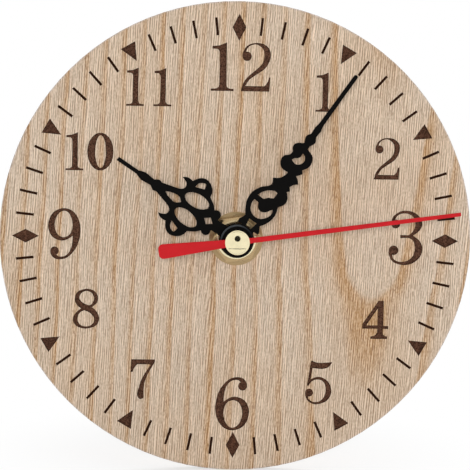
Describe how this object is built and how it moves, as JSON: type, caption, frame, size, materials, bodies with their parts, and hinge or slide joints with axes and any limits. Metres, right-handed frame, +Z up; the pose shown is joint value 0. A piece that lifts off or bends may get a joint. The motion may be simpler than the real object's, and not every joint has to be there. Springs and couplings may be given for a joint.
{
  "type": "wall clock",
  "caption": "Round wooden wall clock with burnt-in numerals, pierced serpentine hands, a red second hand and a battery quartz movement with a hanging loop behind.",
  "frame": {"origin": "on the hands' axis, in the plane of the wall that the movement's back lies on", "axes": "+X to the right seen from the front, +Y into the wall so that the dial faces -Y, +Z up towards twelve o'clock"},
  "size_m": [0.12, 0.033, 0.12],
  "materials": {
    "wood": "sanded pale wood with a thin matt oil finish, marks burnt in",
    "brass": "polished",
    "black_paint": "satin black",
    "red_paint": "satin red",
    "rubber": "matt",
    "black_plastic": "fine moulded grain",
    "pale_plastic": "natural moulded",
    "steel": "bright",
    "copper": "enamelled copper wire",
    "magnet": "sintered",
    "circuit_green": "solder mask",
    "chip_resin": "glossy resin",
    "battery_sleeve": "plain satin sleeve"
  },
  "bodies": {
    "clock_body": {"dial_board": "wood", "rubber_gasket": "rubber", "brass_washer": "brass", "hex_nut": "brass", "threaded_bushing": "brass", "movement_case": "black_plastic", "back_cover": "black_plastic", "battery": "battery_sleeve", "positive_contact": "brass", "negative_contact": "brass", "circuit_board": "circuit_green", "quartz_crystal": "steel", "driver_chip": "chip_resin", "coil_core": "steel", "coil_bobbin": "pale_plastic", "coil_winding": "copper", "stator": "steel"},
    "second_hand_set": {"second_hand": "red_paint", "second_hand_boss": "brass", "seconds_arbor": "steel", "seconds_wheel": "pale_plastic"},
    "minute_hand_set": {"minute_hand": "black_paint", "minute_pipe": "brass", "clutch_spring": "steel"},
    "hour_hand_set": {"hour_hand": "black_paint", "hour_wheel": "pale_plastic"},
    "rotor_set": {"rotor_pinion": "pale_plastic", "rotor_magnet": "magnet"},
    "intermediate_wheel_set": {"intermediate_wheel": "pale_plastic"},
    "third_wheel_set": {"third_wheel": "pale_plastic"},
    "centre_wheel_set": {"centre_wheel": "pale_plastic"},
    "motion_wheel_set": {"motion_wheel": "pale_plastic"},
    "setting_knob_set": {"setting_knob": "black_plastic"}
  },
  "joints": [
    {"name": "second_hand_turn", "type": "hinge", "parent": "clock_body", "child": "second_hand_set", "pos_m": [0, 0, 0], "axis": [0, 1, 0], "continuous": true},
    {"name": "minute_hand_turn", "type": "hinge", "parent": "clock_body", "child": "minute_hand_set", "pos_m": [0, 0, 0], "axis": [0, 1, 0], "continuous": true},
    {"name": "hour_hand_turn", "type": "hinge", "parent": "clock_body", "child": "hour_hand_set", "pos_m": [0, 0, 0], "axis": [0, 1, 0], "continuous": true},
    {"name": "rotor_turn", "type": "hinge", "parent": "clock_body", "child": "rotor_set", "pos_m": [-0.01386, 0, 0.00942], "axis": [0, 1, 0], "continuous": true},
    {"name": "intermediate_wheel_turn", "type": "hinge", "parent": "clock_body", "child": "intermediate_wheel_set", "pos_m": [-0.01082, 0, 0.0029], "axis": [0, 1, 0], "continuous": true},
    {"name": "third_wheel_turn", "type": "hinge", "parent": "clock_body", "child": "third_wheel_set", "pos_m": [0.00282, 0, 0.01051], "axis": [0, 1, 0], "continuous": true},
    {"name": "centre_wheel_turn", "type": "hinge", "parent": "clock_body", "child": "centre_wheel_set", "pos_m": [0, 0, 0], "axis": [0, 1, 0], "continuous": true},
    {"name": "motion_wheel_turn", "type": "hinge", "parent": "clock_body", "child": "motion_wheel_set", "pos_m": [0.00789, 0, -0.00287], "axis": [0, 1, 0], "continuous": true},
    {"name": "setting_knob_turn", "type": "hinge", "parent": "clock_body", "child": "setting_knob_set", "pos_m": [0.01697, 0, 0.00043], "axis": [0, 1, 0], "continuous": true}
  ],
  "couplings": [
    {"joint": "intermediate_wheel_turn", "follows": "second_hand_turn", "ratio": -6},
    {"joint": "rotor_turn", "follows": "second_hand_turn", "ratio": 30},
    {"joint": "third_wheel_turn", "follows": "second_hand_turn", "ratio": -0.13333},
    {"joint": "centre_wheel_turn", "follows": "second_hand_turn", "ratio": 0.016667},
    {"joint": "motion_wheel_turn", "follows": "minute_hand_turn", "ratio": -0.33333},
    {"joint": "hour_hand_turn", "follows": "minute_hand_turn", "ratio": 0.083333},
    {"joint": "setting_knob_turn", "follows": "minute_hand_turn", "ratio": 0.625}
  ]
}
